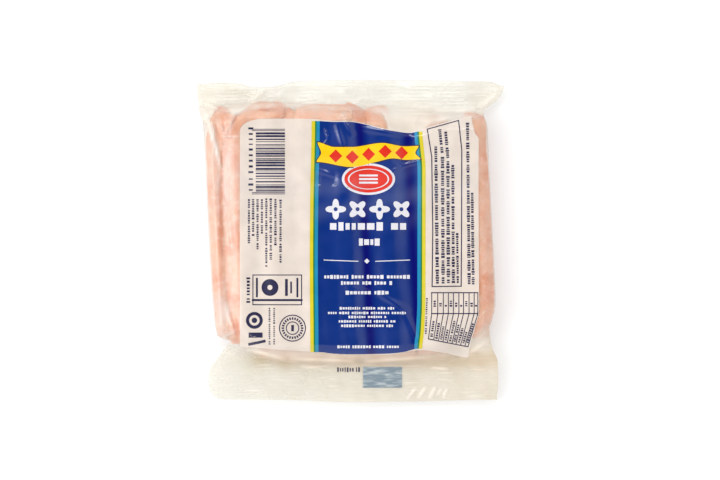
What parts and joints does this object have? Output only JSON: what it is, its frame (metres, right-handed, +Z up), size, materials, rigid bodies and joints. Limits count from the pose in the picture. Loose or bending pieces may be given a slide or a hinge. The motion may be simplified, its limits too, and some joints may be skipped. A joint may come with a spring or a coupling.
{
  "type": "sausage pack",
  "caption": "Flow-wrapped pack of thin raw sausages lying side by side in clear printed film, with a wide crimped seal across each end. It lies flat on its back.",
  "frame": {"origin": "the ground under the middle of the pack's box, as it lies on its back", "axes": "+Z up, out of the printed face; +Y along the sausages, towards the narrower end seal; +X across the row, to the right of the printed face"},
  "size_m": [0.146, 0.1534, 0.0182],
  "materials": {
    "clear_film": "gloss",
    "sausage_skin": "satin",
    "white_print": "gloss",
    "blue_print": "gloss",
    "colour_print": "gloss",
    "dark_print": "gloss"
  },
  "bodies": {
    "root": {"sausage_pack": "clear_film"}
  },
  "joints": []
}
